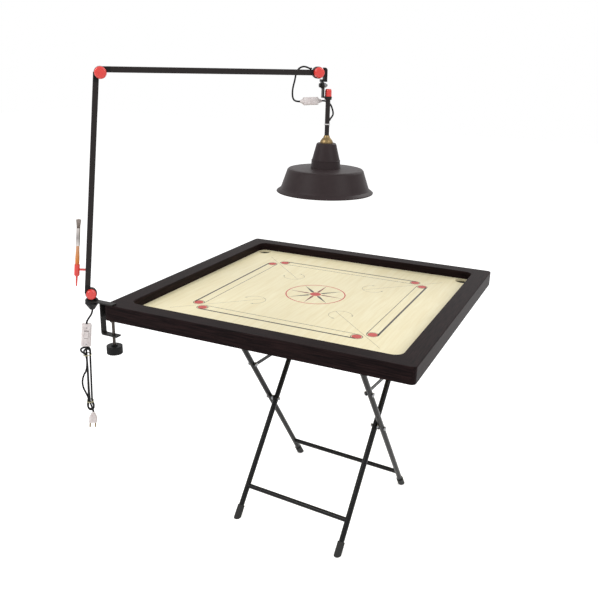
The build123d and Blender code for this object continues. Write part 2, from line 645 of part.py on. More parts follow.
# The shade is two spun pieces of sheet: a neck and a wide dish with a rolled rim.
SEAM_Z = 383
DISH_TOP_Z = 363
turned(
    [
        (0, CAP_BOTTOM_Z), (24, CAP_BOTTOM_Z), (26.7, CAP_BOTTOM_Z - 2.5),
        (37.6, SEAM_Z + 1.5), (39, SEAM_Z + 1), (39.2, SEAM_Z - 1), (38.6, SEAM_Z - 1.5), (40.5, DISH_TOP_Z),
        (40.5 - SHEET, DISH_TOP_Z), (37.4, SEAM_Z - 1.5), (36.4, SEAM_Z + 1.5), (25.4, CAP_BOTTOM_Z - 3.5),
        (23.5, CAP_BOTTOM_Z - SHEET), (0, CAP_BOTTOM_Z - SHEET),
    ],
    "shade_neck",
)
RIM_Z = 299
turned(
    [
        (38.6, DISH_TOP_Z), (95, 361.2), (100.5, 360), (103.8, 356.5), (119.6, 311), (122.5, 306.5), (SHADE_RIM_R, RIM_Z + 1.6),
        (132.4, RIM_Z), (131.6, RIM_Z - 1.6), (129.6, RIM_Z - 1.6), (129, RIM_Z),
        (121.2, 305.2), (118.3, 310.4), (102.6, 355.6), (99.8, 358.6), (95, 360), (38.6, DISH_TOP_Z - SHEET),
    ],
    "shade_dish",
)
HOLDER_TOP_Z = CAP_BOTTOM_Z - SHEET
HOLDER_LIP_Z = 378
turned(
    [(0, HOLDER_TOP_Z), (10, HOLDER_TOP_Z), (16, 420), (18, 416), (18, HOLDER_LIP_Z), (14, HOLDER_LIP_Z), (14, 400), (0, 400)],
    "lamp_holder",
)
BULB_R = 29
BULB_NECK_R = 13
GLASS = 1
BULB_Z = 336
with BuildPart() as bulb:
    with BuildSketch(Plane.XZ):
        with BuildLine():
            bulb_axis = Line((0, 400), (0, BULB_Z - BULB_R))
            globe = ThreePointArc(
                bulb_axis @ 1,
                (BULB_R, BULB_Z),
                (BULB_R * sin(radians(40)), BULB_Z + BULB_R * cos(radians(40))),
            )
            shoulder = Polyline(globe @ 1, (BULB_NECK_R, 372), (BULB_NECK_R, 400), (0, 400))
        make_face()
    revolve(axis=Axis.Z)
    with BuildSketch(Plane.XY.offset(BULB_Z)):
        Circle(BULB_NECK_R - GLASS)
    extrude(amount=400 - BULB_Z, mode=Mode.SUBTRACT)
    with Locations((0, 0, BULB_Z)):
        Sphere(BULB_R - GLASS, mode=Mode.SUBTRACT)
bulb.part.position = shade_axis
save(bulb, "bulb")

# ---------------------------------------------------------------- brush in its holder on the post
BRUSH_X = -37.5
brush_line = Plane(origin=post.from_local_coords(Vector(BRUSH_X, 0, 0)), x_dir=post.x_dir, z_dir=post.y_dir)
TUBE_FACE_X = POST_OFFSET - HALF_SQ


def brush_turned(points, name, extra=None):
    """A part turned round the brush's own line from its half section of radius and distance along the post."""
    with BuildPart() as piece:
        with BuildSketch(Plane.XZ):
            with BuildLine():
                Polyline(*points, close=True)
            make_face()
        revolve(axis=Axis.Z)
    piece.part.locate(brush_line.location)
    return piece.part


holder_cup = brush_turned(
    [(0, 18), (1.8, 18), (2.8, 44), (5.5, 46), (6.9, 48), (6.9, 76), (5.2, 76), (5.2, 48), (0, 48)], "cup"
)
with BuildPart() as brush_holder:
    add(holder_cup)
    box_on(post, BRUSH_X + 6, TUBE_FACE_X, 60.5, 65.5, -2.5, 2.5)
save(brush_holder, "brush_holder")


def save_solid(solid, name):
    """Label a solid and write its part file."""
    solid.label = name
    export_step(solid, "parts/" + name + ".step")


save_solid(
    brush_turned([(0, 48.3), (3, 48.3), (4.6, 52), (4.9, 72), (5.5, 92), (4.4, 114), (4.2, 126), (0, 126)], "handle"),
    "brush_handle",
)
save_solid(brush_turned([(0, 126), (4.9, 126), (4.9, 170), (4.6, 172), (0, 172)], "ferrule"), "brush_ferrule")
with BuildPart() as brush_bristles:
    with BuildSketch(brush_line.offset(172)):
        Ellipse(4.4, 4)
    with BuildSketch(brush_line.offset(198)):
        Ellipse(7, 3)
    loft()
save(brush_bristles, "brush_bristles")


# ---------------------------------------------------------------- cords
def cord_tube(points, radius, name):
    """A cord along points of the lamp's upright plane: straight runs joined by tangent arcs.

    Each arc's radius is 0.45 of the shorter run beside it, divided by the tangent of half the turn.
    """
    route = [lamp.from_local_coords(Vector(s, z, t)) for s, z, t in points]
    radii = []
    for before, corner, after in zip(route, route[1:], route[2:]):
        first = corner - before
        second = after - corner
        turn = radians(first.get_angle(second))
        radii.append(0.45 * min(first.length, second.length) / tan(turn / 2))
    with BuildPart() as cord:
        with BuildLine() as line:
            FilletPolyline(*route, radius=radii)
        with BuildSketch(Plane(origin=route[0], z_dir=route[1] - route[0])):
            Circle(radius)
        sweep(path=line.line)
    length = sum(edge.length for edge in line.edges())
    print(name, "radii", [round(r, 1) for r in radii], "length", round(length, 1))
    print(name, "volume ratio", round(cord.part.volume / (pi * radius * radius * length), 4))
    save(cord, name)


# The supply cord falls from the gland to a switch. Below the switch it is folded and tied into a hank.
SWITCH_TOP = (-17, -39)
SWITCH_END = (-23, -100.6)
switch_len = hypot(SWITCH_END[0] - SWITCH_TOP[0], SWITCH_END[1] - SWITCH_TOP[1])
down_s = (SWITCH_END[0] - SWITCH_TOP[0]) / switch_len
down_z = (SWITCH_END[1] - SWITCH_TOP[1]) / switch_len
cord_tube(
    [(0, GLAND_BOTTOM_Z, 0), (0, -9, 0), (SWITCH_TOP[0] - 9 * down_s, SWITCH_TOP[1] - 9 * down_z, 0), (*SWITCH_TOP, 0)],
    CORD_R,
    "supply_cord",
)
switch_dir = lamp.x_dir * down_s + Vector(0, 0, down_z)
switch = Plane(
    origin=lamp.from_local_coords(Vector(*SWITCH_TOP, 0)),
    x_dir=lamp.z_dir,
    z_dir=switch_dir,
)
SWITCH_HALF_W = 13
SWITCH_HALF_T = 10
with BuildPart() as switch_case:
    with BuildSketch(switch):
        RectangleRounded(SWITCH_HALF_T * 2, SWITCH_HALF_W * 2, 5)
    extrude(amount=switch_len)
    fillet(switch_case.faces().sort_by(Axis.Z)[-1].edges(), 3)
    fillet(switch_case.faces().sort_by(Axis.Z)[0].edges(), 3)
    with BuildSketch(switch.offset(16)):
        with Locations((SWITCH_HALF_T - 2, 0)):
            Rectangle(6, 12)
    extrude(amount=22, mode=Mode.SUBTRACT)
save(switch_case, "switch_case")

ROCKER_MID = 27
rocker = Plane(origin=switch.from_local_coords(Vector(SWITCH_HALF_T - 2, 0, ROCKER_MID)), x_dir=switch.x_dir,
               z_dir=switch.y_dir)
with BuildPart() as switch_rocker:
    with BuildSketch(rocker.offset(-5.6)):
        with BuildLine():
            Polyline((-2, 7), (3.6, 9.5), (2.6, 0), (3.6, -9.5), (-2, -7), close=True)
        make_face()
    extrude(amount=11.2)
save(switch_rocker, "switch_rocker")

# The hank hangs under the switch: folded runs tied near the bottom, with one slack run bowed out to the side.
HANK_BACK = -4.6
HANK_FRONT = 14.8
with BuildPart() as supply_hank:
    with BuildSketch(lamp.offset(HANK_BACK)):
        with BuildLine():
            Polyline(
                (-27, -100.6), (-19.5, -101.3), (-13, -108), (-10.5, -122), (-12, -150), (-14.5, -190), (-15, -230),
                (-17, -262), (-14.5, -275), (-13.5, -293.21), (-20.5, -292.48), (-29.5, -283), (-30, -272), (-27, -262),
                (-30, -246), (-37, -230), (-41.5, -212), (-41.5, -195), (-37, -182), (-29, -172), (-25, -150),
                (-24.5, -126), (-27, -119), (-38, -112), (-38.5, -105), (-31, -102),
                close=True,
            )
        make_face()
        with BuildLine():
            Polyline((-29.5, -180), (-35.5, -190), (-37, -204), (-34, -222), (-29.5, -234), (-28.5, -205), close=True)
        make_face(mode=Mode.SUBTRACT)
    extrude(amount=HANK_FRONT - HANK_BACK)
save(supply_hank, "supply_hank")

# The plug hangs from the end of the hank: a flat moulded body with two round pins.
PLUG_T = 12
plug_top = (-16.5, -292.9)
plug_end = (-21, -336)
plug_len = hypot(plug_end[0] - plug_top[0], plug_end[1] - plug_top[1])
plug_dir = lamp.x_dir * (plug_end[0] - plug_top[0]) + Vector(0, 0, plug_end[1] - plug_top[1])
plug = Plane(origin=lamp.from_local_coords(Vector(*plug_top, PLUG_T)), x_dir=lamp.z_dir, z_dir=plug_dir)
with BuildPart() as supply_plug:
    with BuildSketch(plug.offset(5)):
        RectangleRounded(9, 11, 3)
    with BuildSketch(plug.offset(16)):
        RectangleRounded(13, 22, 5)
    with BuildSketch(plug.offset(plug_len - 12)):
        RectangleRounded(13, 22, 5)
    loft(ruled=True)
    with BuildSketch(plug):
        Circle(3.2)
    extrude(amount=6)
save(supply_plug, "supply_plug")
PIN_R = 2
with BuildPart() as plug_pins:
    with BuildSketch(plug.offset(plug_len - 12)):
        with Locations((0, -7), (0, 7)):
            Circle(PIN_R)
    extrude(amount=15)
save(plug_pins, "plug_pins")

# The lamp's cord leaves an outlet on the arm's end lug, loops behind the arm to a connector, and runs on
# into the hanger's rod.
LAMP_CORD_R = LAMP_CORD_D / 2
CONNECTOR_T = -21
CONNECTOR_A = (562, 534.6)
CONNECTOR_B = (622, 537)
SPLIT = 0.47
cord_tube(
    [
        (*CORD_START, -2), (*CORD_NEXT, -5), (557, 620.6, -10), (547.7, 608.6, -13), (545.5, 590, -14),
        (539.5, 566, -16), (541, 543.4, -20), (549.6, 534.1, CONNECTOR_T), (*CONNECTOR_A, CONNECTOR_T),
    ],
    LAMP_CORD_R,
    "lamp_cord_upper",
)
cord_tube(
    [
        (*CONNECTOR_B, CONNECTOR_T), (634, 537.48, CONNECTOR_T), (645, 529, -13), (649, 514, -5), (649.6, 500.8, 0),
        (640.8, 491.9, 0),
    ],
    LAMP_CORD_R,
    "lamp_cord_lower",
)
connector_len = hypot(CONNECTOR_B[0] - CONNECTOR_A[0], CONNECTOR_B[1] - CONNECTOR_A[1])
connector_dir = lamp.x_dir * (CONNECTOR_B[0] - CONNECTOR_A[0]) + Vector(0, 0, CONNECTOR_B[1] - CONNECTOR_A[1])
connector = Plane(
    origin=lamp.from_local_coords(Vector(*CONNECTOR_A, CONNECTOR_T)), x_dir=lamp.z_dir, z_dir=connector_dir
)
SPLIT_X = connector_len * SPLIT


def connector_half(start, end):
    """One half of the cord connector: a rounded body with a tapered cord sleeve at its outer end."""
    shoulder = start + (end - start) * 0.35
    with BuildSketch(connector.offset(start)) as mouth:
        Circle(LAMP_CORD_R + 1)
    with BuildSketch(connector.offset(shoulder)) as throat:
        Circle(7.5)
    loft([mouth.sketch.face(), throat.sketch.face()], ruled=True)
    with BuildSketch(connector.offset(shoulder)) as body:
        RectangleRounded(15, 20, 5)
    extrude(body.sketch, amount=(end - shoulder))


with BuildPart() as cord_connector:
    connector_half(0, SPLIT_X - 0.25)
    connector_half(connector_len, SPLIT_X + 0.25)
    with BuildSketch(connector.offset(SPLIT_X - 0.25)):
        Rectangle(9, 13)
    extrude(amount=0.5)
save(cord_connector, "cord_connector")
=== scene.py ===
import math

import bmesh
import bpy
import numpy as np
from mathutils import Matrix, Vector


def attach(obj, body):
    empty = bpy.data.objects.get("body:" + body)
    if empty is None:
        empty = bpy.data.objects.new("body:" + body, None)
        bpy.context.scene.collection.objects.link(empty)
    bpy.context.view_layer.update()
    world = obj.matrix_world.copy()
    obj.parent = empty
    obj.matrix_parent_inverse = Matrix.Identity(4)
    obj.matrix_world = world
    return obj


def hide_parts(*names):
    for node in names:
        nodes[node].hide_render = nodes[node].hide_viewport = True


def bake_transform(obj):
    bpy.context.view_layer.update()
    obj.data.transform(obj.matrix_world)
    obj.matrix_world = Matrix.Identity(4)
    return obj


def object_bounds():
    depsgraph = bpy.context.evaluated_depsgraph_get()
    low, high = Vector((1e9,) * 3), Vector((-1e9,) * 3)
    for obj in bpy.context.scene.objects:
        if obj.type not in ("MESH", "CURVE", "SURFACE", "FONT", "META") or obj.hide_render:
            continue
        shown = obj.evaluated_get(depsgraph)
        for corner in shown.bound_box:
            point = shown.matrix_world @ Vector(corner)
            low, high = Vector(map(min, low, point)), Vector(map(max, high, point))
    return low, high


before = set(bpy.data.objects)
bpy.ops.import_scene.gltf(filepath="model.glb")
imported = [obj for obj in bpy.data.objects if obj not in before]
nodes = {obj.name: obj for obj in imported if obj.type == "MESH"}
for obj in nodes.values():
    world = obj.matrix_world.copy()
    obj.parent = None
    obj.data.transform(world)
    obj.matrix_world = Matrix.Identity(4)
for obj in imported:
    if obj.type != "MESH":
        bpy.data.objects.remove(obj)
cad_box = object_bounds()

# ---------------------------------------------------------------- camera
# A standing player's eye, in front of the board and to its right, looking down on it with a short telephoto.
CAMERA_AT = (0.7655, -1.7831, 0.6416)
CAMERA_TURN, CAMERA_TILT, CAMERA_ROLL = (math.radians(a) for a in (24.627, 18.685, 1.533))
eye = bpy.data.cameras.new("player_eye")
eye.sensor_fit = "HORIZONTAL"
eye.sensor_width = 36.0
eye.lens = 42.69
eye.clip_start, eye.clip_end = 0.05, 50.0
camera = bpy.data.objects.new("player_eye", eye)
camera.matrix_world = (
    Matrix.Translation(CAMERA_AT)
    @ Matrix.Rotation(CAMERA_TURN, 4, "Z")
    @ Matrix.Rotation(math.pi / 2 - CAMERA_TILT, 4, "X")
    @ Matrix.Rotation(CAMERA_ROLL, 4, "Z")
)
bpy.context.scene.collection.objects.link(camera)
bpy.context.scene.camera = camera

# ---------------------------------------------------------------- cords
# The mains lead is round black PVC flex. It falls out of the clamp's gland into an inline switch, and the rest
# is folded into five runs and tied, with one run left slack. The lamp's own lead is thinner and loops from the
# arm's end to a white connector and back into the shade's rod.
MM = 0.001
LAMP_AT = np.array((-463.4, -409.7, 0.0))
LAMP_TURN = math.radians(41)
ALONG = np.array((math.cos(LAMP_TURN), math.sin(LAMP_TURN), 0.0))
ACROSS = np.array((math.sin(LAMP_TURN), -math.cos(LAMP_TURN), 0.0))
UP = np.array((0.0, 0.0, 1.0))


def lamp_point(places):
    """Millimetres along, up and across the lamp's upright plane, turned to metres in the frame.

    Formula: clamp axis + along * first + up * second + across * third."""
    p = np.atleast_2d(np.asarray(places, float))
    return (LAMP_AT + p[:, :1] * ALONG + p[:, 1:2] * UP + p[:, 2:3] * ACROSS) * MM


def linear(hex_colour):
    """sRGB hex to the linear colour a shader takes: ((c + 0.055) / 1.055) to the power 2.4, c / 12.92 when dark."""
    c = np.array([int(hex_colour[i : i + 2], 16) / 255 for i in (1, 3, 5)])
    c = np.where(c <= 0.04045, c / 12.92, ((c + 0.055) / 1.055) ** 2.4)
    return (*c, 1.0)


def add(material, kind, settings=(), links=(), **values):
    """Adds one shader node, with its settings, its socket values and its incoming links, and returns it."""
    made = material.node_tree.nodes.new(kind)
    for name, value in dict(settings).items():
        setattr(made, name, value)
    for name, value in values.items():
        key = name.replace("_", " ") if isinstance(name, str) else name
        socket = made.inputs[int(key[6:])] if key.startswith("input ") else made.inputs[key]
        socket.default_value = value
    for name, source in dict(links).items():
        material.node_tree.links.new(source, made.inputs[name])
    return made


def new_material(name, **values):
    """A material with one Principled shader. Returns the material and its shader."""
    made = bpy.data.materials.new(name)
    made.use_nodes = True
    shader = made.node_tree.nodes["Principled BSDF"]
    for key, value in values.items():
        shader.inputs[key.replace("_", " ")].default_value = value
    return made, shader


# PVC flex, extruded: black, dull, with a faint waviness from the cores twisted under the sheath.
flex, shader = new_material("pvc_flex", Base_Color=linear("#0E0D0E"), Roughness=0.5, Specular_IOR_Level=0.2)
where = add(flex, "ShaderNodeTexCoord")
CORE_LAY = 9 * MM
lay = add(flex, "ShaderNodeTexNoise", links={"Vector": where.outputs["Object"]}, Scale=1 / CORE_LAY, Detail=2.0)
dent = add(flex, "ShaderNodeBump", links={"Height": lay.outputs["Fac"]}, Strength=0.35, Distance=0.5 * MM)
flex.node_tree.links.new(dent.outputs["Normal"], shader.inputs["Normal"])
SUPPLY_D, LAMP_LEAD_D = 5.0, 4.5


def lead(name, route, diameter):
    """A smooth cord: a NURBS line through control points given in the lamp's plane, with a round section."""
    curve = bpy.data.curves.new(name, "CURVE")
    curve.dimensions = "3D"
    curve.bevel_depth = diameter / 2 * MM
    curve.bevel_resolution = 5
    curve.resolution_u = 10
    curve.use_fill_caps = True
    points = lamp_point(route)
    spline = curve.splines.new("NURBS")
    spline.points.add(len(points) - 1)
    spline.points.foreach_set("co", np.c_[points, np.ones(len(points))].ravel())
    spline.order_u = 3
    spline.use_endpoint_u = True
    curve.materials.append(flex)
    made = bpy.data.objects.new(name, curve)
    bpy.context.scene.collection.objects.link(made)
    return made


GLAND_MOUTH = (0, 2, 0)
SWITCH_TOP, SWITCH_END = np.array((-17, -39, 0)), np.array((-23, -100.6, 0))
PLUG_TOP, PLUG_END = np.array((-16.5, -292.9, 12)), np.array((-21, -336, 12))
drop = [GLAND_MOUTH, (0, -9, 0), (-16.13, -30.04, 0), SWITCH_TOP, (-20, -70, 0), SWITCH_END]
hank = [
    (-23.6, -108, -0.8), (-23, -119, -2), (-23.4, -150, -2), (-24.5, -200, -2), (-26, -250, -2),
    (-27, -264, -2), (-31, -275, -1.5), (-29, -287, -0.5), (-21, -290, 0.5), (-14, -284, 1.5), (-14.5, -273, 2),
    (-18, -262, 2.5), (-17.5, -250, 2.5), (-16, -200, 2.5), (-14.6, -150, 2.5), (-14, -124, 2.6),
    (-12.5, -113, 3.5), (-15.5, -104, 4.6), (-24, -103.5, 5.2), (-33, -104, 5.4), (-38, -109, 5.4),
    (-35, -116, 5.2), (-28, -121, 5), (-23.5, -132, 5), (-24, -155, 5), (-27, -172, 5), (-36, -186, 5),
    (-40, -205, 5), (-38, -222, 5), (-32, -238, 5), (-27.5, -250, 5), (-26.5, -262, 5),
    (-29, -272, 5.5), (-29.5, -283, 6.5), (-23, -289, 7.5), (-15.5, -286, 8.5), (-14, -276, 9), (-17.8, -264, 9),
    (-17.5, -250, 9), (-16, -200, 9), (-14.6, -150, 9), (-14, -126, 9),
    (-12.5, -116, 9.8), (-15.5, -107, 10.8), (-22, -106, 11.6), (-29, -109, 12), (-29, -117, 12),
    (-24, -125, 12), (-22.5, -150, 12), (-23.5, -200, 12), (-24, -250, 12), (-22.5, -266, 12.2), (-19, -280, 12.3),
    (-16.9, -288, 12.1), PLUG_TOP,
]
supply = lead("mains_lead", drop + hank, SUPPLY_D)
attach(supply, "board")
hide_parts("supply_cord", "supply_hank")

CONNECTOR_A, CONNECTOR_B = np.array((562, 534.6, -21)), np.array((622, 537, -21))
upper = lead(
    "lamp_lead_upper",
    [
        (582, 617.6, -2), (570.5, 623.6, -5), (557, 620.6, -10), (547.7, 608.6, -13), (545.5, 590, -14),
        (539.5, 566, -16), (541, 543.4, -20), (549.6, 534.1, -21), CONNECTOR_A,
    ],
    LAMP_LEAD_D,
)
lower = lead(
    "lamp_lead_lower",
    [
        CONNECTOR_B, (634, 537.48, -21), (645, 529, -13), (649, 514, -5), (649.6, 500.8, 0), (640.8, 491.9, 0),
    ],
    LAMP_LEAD_D,
)


def meshed(cord):
    """Turns a curve cord into a mesh tube of smooth faces. Returns the tube and its middle line's points."""
    thickness = cord.data.bevel_depth
    cord.data.bevel_depth = 0
    line = bpy.data.meshes.new_from_object(cord)
    cord.data.bevel_depth = thickness
    name, mesh = cord.name, bpy.data.meshes.new_from_object(cord)
    bpy.data.objects.remove(cord)
    tube = bpy.data.objects.new(name, mesh)
    tube.data.polygons.foreach_set("use_smooth", np.full(len(tube.data.polygons), True))
    bpy.context.scene.collection.objects.link(tube)
    return tube, [tuple(v.co) for v in line.vertices]


upper, upper_line = meshed(upper)
lower, lower_line = meshed(lower)
for piece, node in ((upper, "lamp_cord_upper"), (lower, "lamp_cord_lower")):
    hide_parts(node)
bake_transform(upper)
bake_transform(lower)

# ---------------------------------------------------------------- rails
# Four mitred lengths of hardwood, about 47 by 42 mm, stained and sprayed near-black. The grain is filled, so only
# long, faint streaks and a slight orange-peel of the lacquer are left to see.
GRAIN_WIDTH, GRAIN_STRETCH = 2.2 * MM, 24


def stained_wood(name, along_x):
    """Stained hardwood under satin lacquer, its streaks running along X or along Y."""
    made, shader = new_material(name, Roughness=0.42, Specular_IOR_Level=0.03)
    where = add(made, "ShaderNodeTexCoord")
    across, along = 1 / GRAIN_WIDTH, 1 / (GRAIN_WIDTH * GRAIN_STRETCH)
    scale = (along, across, across) if along_x else (across, along, across)
    turn = add(made, "ShaderNodeMapping", links={"Vector": where.outputs["Object"]}, Scale=scale)
    streak = add(made, "ShaderNodeTexNoise", links={"Vector": turn.outputs["Vector"]}, Scale=1.0, Detail=4.0)
    tint = add(made, "ShaderNodeValToRGB", links={"Fac": streak.outputs["Fac"]})
    tint.color_ramp.elements[0].position, tint.color_ramp.elements[1].position = 0.35, 0.7
    tint.color_ramp.elements[0].color, tint.color_ramp.elements[1].color = linear("#130E0F"), linear("#2A1D1D")
    peel = add(made, "ShaderNodeTexNoise", links={"Vector": where.outputs["Object"]}, Scale=1 / (4 * MM))
    bump = add(made, "ShaderNodeBump", links={"Height": peel.outputs["Fac"]}, Strength=0.08, Distance=0.3 * MM)
    made.node_tree.links.new(tint.outputs["Color"], shader.inputs["Base Color"])
    made.node_tree.links.new(bump.outputs["Normal"], shader.inputs["Normal"])
    return made


def finish_node(material, *names):
    """Gives CAD nodes a material."""
    for name in names:
        for place in nodes[name].material_slots:
            place.material = material


finish_node(stained_wood("stained_rail_x", True), "rail_front", "rail_back")
finish_node(stained_wood("stained_rail_y", False), "rail_left", "rail_right")

# ---------------------------------------------------------------- playing surface
# Eight millimetres of pale birch plywood, sanded and polished to a dry gloss that the pieces slide on.
ply, shader = new_material("polished_birch_ply", Roughness=0.32, Specular_IOR_Level=0.14)
where = add(ply, "ShaderNodeTexCoord")
FIGURE = 9 * MM
stretch = add(ply, "ShaderNodeMapping", links={"Vector": where.outputs["Object"]}, Scale=(1 / FIGURE, 0.07 / FIGURE, 1.0))
figure = add(ply, "ShaderNodeTexNoise", links={"Vector": stretch.outputs["Vector"]}, Scale=1.0, Detail=5.0, Distortion=0.6)
tint = add(ply, "ShaderNodeValToRGB", links={"Fac": figure.outputs["Fac"]})
tint.color_ramp.elements[0].position, tint.color_ramp.elements[1].position = 0.3, 0.72
tint.color_ramp.elements[0].color, tint.color_ramp.elements[1].color = linear("#F0E3B9"), linear("#F9F0CC")
ply.node_tree.links.new(tint.outputs["Color"], shader.inputs["Base Color"])
finish_node(ply, "playing_surface")


# ---------------------------------------------------------------- printed markings
# Screen-printed black and red ink under the polish: base lines and their circles, the diagonal arrows, and the
# centre ring with its eight-pointed star. Each mark is a film a tenth of a millimetre proud of the plywood.
INK = 0.1
BLACK_INK, RED_INK, BROWN_INK, FAINT_INK = "#1B1614", "#C4302B", "#7A2A26", "#A39A80"


def ink(name, colour):
    """Matt printing ink, slightly thin in places where the wood's surface shows through it."""
    made, shader = new_material(name, Roughness=0.42)
    where = add(made, "ShaderNodeTexCoord")
    wear = add(made, "ShaderNodeTexNoise", links={"Vector": where.outputs["Object"]}, Scale=1 / (3 * MM), Detail=3.0)
    tint = add(made, "ShaderNodeValToRGB", links={"Fac": wear.outputs["Fac"]})
    tint.color_ramp.elements[0].position, tint.color_ramp.elements[1].position = 0.3, 0.9
    tint.color_ramp.elements[0].color = linear(colour)
    tint.color_ramp.elements[1].color = tuple(0.93 * a + 0.07 * b for a, b in zip(linear(colour), linear("#F0E2C2")))
    made.node_tree.links.new(tint.outputs["Color"], shader.inputs["Base Color"])
    return made


INKS = {
    "black": ink("black_print", BLACK_INK), "red": ink("red_print", RED_INK),
    "brown": ink("brown_print", BROWN_INK), "faint": ink("faint_print", FAINT_INK),
}


def mesh_piece(name, points, faces, material, smooth=True):
    """A mesh from an array of points in metres and an array or list of faces, linked at the origin."""
    mesh = bpy.data.meshes.new(name)
    mesh.from_pydata(np.asarray(points).tolist(), [], [list(map(int, f)) for f in faces])
    mesh.materials.append(material)
    mesh.polygons.foreach_set("use_smooth", np.full(len(mesh.polygons), smooth))
    mesh.update()
    made = bpy.data.objects.new(name, mesh)
    bpy.context.scene.collection.objects.link(made)
    return made


def film(outlines):
    """Thin closed slabs on the board, from outlines in millimetres, each given as (outer, inner) point rings.

    Formula: a strip of quads joins ring to ring on top and below, and each ring's top to its own foot. A solid
    shape has its inner ring shrunk to its middle."""
    points, faces, start = [], [], 0
    for outer, inner in outlines:
        n = len(outer)
        flat = np.vstack([outer, inner])
        low, high = np.c_[flat, np.full(2 * n, -0.05)], np.c_[flat, np.full(2 * n, INK)]
        points.append(np.vstack([high, low]))
        i = np.arange(n)
        j = (i + 1) % n
        o, p, lo, lp = i, i + n, i + 2 * n, i + 3 * n
        oj, pj, loj, lpj = j, j + n, j + 2 * n, j + 3 * n
        top, foot = np.c_[o, oj, pj, p], np.c_[lp, lpj, loj, lo]
        outside, inside = np.c_[lo, loj, oj, o], np.c_[p, pj, lpj, lp]
        faces.append(np.vstack([top, foot, outside, inside]) + start)
        start += 4 * n
    return np.vstack(points) * MM, np.vstack(faces)


def ring(centre, outer_r, inner_r, sides=72):
    """Two circles about a centre: centre + radius * (cos a, sin a)."""
    a = np.linspace(0, 2 * np.pi, sides, endpoint=False)
    unit = np.c_[np.cos(a), np.sin(a)]
    return centre + outer_r * unit, centre + inner_r * unit


def bar(a, b, width):
    """A straight line from a to b of a given width, with its inner ring on its middle line."""
    a, b = np.asarray(a, float), np.asarray(b, float)
    d = (b - a) / np.linalg.norm(b - a)
    side = np.array((-d[1], d[0])) * width / 2
    return np.array((a - side, b - side, b + side, a + side)), np.array((a, b, b, a)) + d * 1e-3 * np.array([[1], [-1], [-1], [1]])


def arc(centre, radius, start, end, width, steps=60):
    """An open arc's outer and inner edge as one loop, with a hair-thin inner ring on its middle line."""
    a = np.linspace(start, end, steps)
    unit = np.c_[np.cos(a), np.sin(a)]
    edge = np.vstack([centre + (radius + width / 2) * unit, (centre + (radius - width / 2) * unit)[::-1]])
    middle = np.vstack([centre + radius * unit, (centre + radius * unit)[::-1]])
    return edge, middle


def kite(angle, foot, waist, tip, half_width):
    """A long kite pointing outwards from the middle: foot, waist and tip are radii, turned by angle."""
    c, s = math.cos(angle), math.sin(angle)
    turn = np.array(((c, s), (-s, c)))
    shape = np.array(((foot, 0), (waist, -half_width), (tip, 0), (waist, half_width))) @ turn
    return shape, np.repeat(shape.mean(axis=0)[None], 4, axis=0)


LINE_THICK, LINE_THIN, LINE_FINE = 5.5, 1.8, 1.2
BASE_OUT, BASE_IN, BASE_MID, BASE_END, BASE_R, BASE_CORE = 268.5, 236.7, 252.6, 222.0, 15.9, 12.7
ARROW_FROM, ARROW_TO, HOOK_R, HOOK_AT, HOOK_SPAN = 152, 419, 31.75, 183, math.radians(122)
STAR_RING, STAR_RING_WIDTH, CORE_R = 85, 3.4, 15.9
blacks, reds, browns, faints = [], [], [], []
for k in range(4):
    turn = np.array(((math.cos(k * math.pi / 2), math.sin(k * math.pi / 2)), (-math.sin(k * math.pi / 2), math.cos(k * math.pi / 2))))

    def put(pair):
        """Turns a shape by quarter turns about the board's middle."""
        return pair[0] @ turn, pair[1] @ turn

    blacks.append(put(bar((-BASE_END, -BASE_OUT + LINE_THICK / 2), (BASE_END, -BASE_OUT + LINE_THICK / 2), LINE_THICK)))
    blacks.append(put(bar((-BASE_END, -BASE_IN), (BASE_END, -BASE_IN), LINE_THIN)))
    for x in (-BASE_END, BASE_END):
        blacks.append(put(ring((x, -BASE_MID), BASE_R, BASE_R - LINE_THIN, 48)))
        middle = np.repeat(np.array(((x, -BASE_MID),)), 48, axis=0)
        reds.append(put((ring((x, -BASE_MID), BASE_CORE, 0, 48)[0], middle)))
    out = np.array((-1, -1)) / math.sqrt(2)
    heading = math.atan2(out[1], out[0])
    faints.append(put(bar(out * ARROW_FROM, out * ARROW_TO, LINE_FINE)))
    faints.append(put(arc(out * HOOK_AT, HOOK_R, heading + math.pi - HOOK_SPAN, heading + math.pi + HOOK_SPAN, LINE_FINE)))
    for end, way in ((-HOOK_SPAN, -1), (HOOK_SPAN, 1)):
        tip_angle = heading + math.pi + end
        tip = out * HOOK_AT + HOOK_R * np.array((math.cos(tip_angle), math.sin(tip_angle)))
        on = way * np.array((-math.sin(tip_angle), math.cos(tip_angle)))
        wing = np.array((-on[1], on[0])) * 2.6
        head = np.array((tip + on * 4, tip - on * 5 + wing, tip - on * 5 - wing))
        faints.append(put((head, np.repeat(head.mean(axis=0)[None], 3, axis=0))))
    # Each point of the star is a long kite that widens near the core: black on the diagonals, brown on the axes.
    blacks.append(put(kite(heading, CORE_R - 1, 24, 83, 4.2)))
    browns.append(put(kite(-math.pi / 2, CORE_R - 1, 24, 83, 3.8)))
reds.append(ring(np.zeros(2), STAR_RING + STAR_RING_WIDTH / 2, STAR_RING - STAR_RING_WIDTH / 2, 120))
reds.append((ring(np.zeros(2), CORE_R, 0, 60)[0], np.zeros((60, 2))))
for name, outlines in (("black", blacks), ("red", reds), ("brown", browns), ("faint", faints)):
    points, faces = film(outlines)
    print_film = mesh_piece(name + "_markings", points, faces, INKS[name], smooth=False)
    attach(print_film, "board")

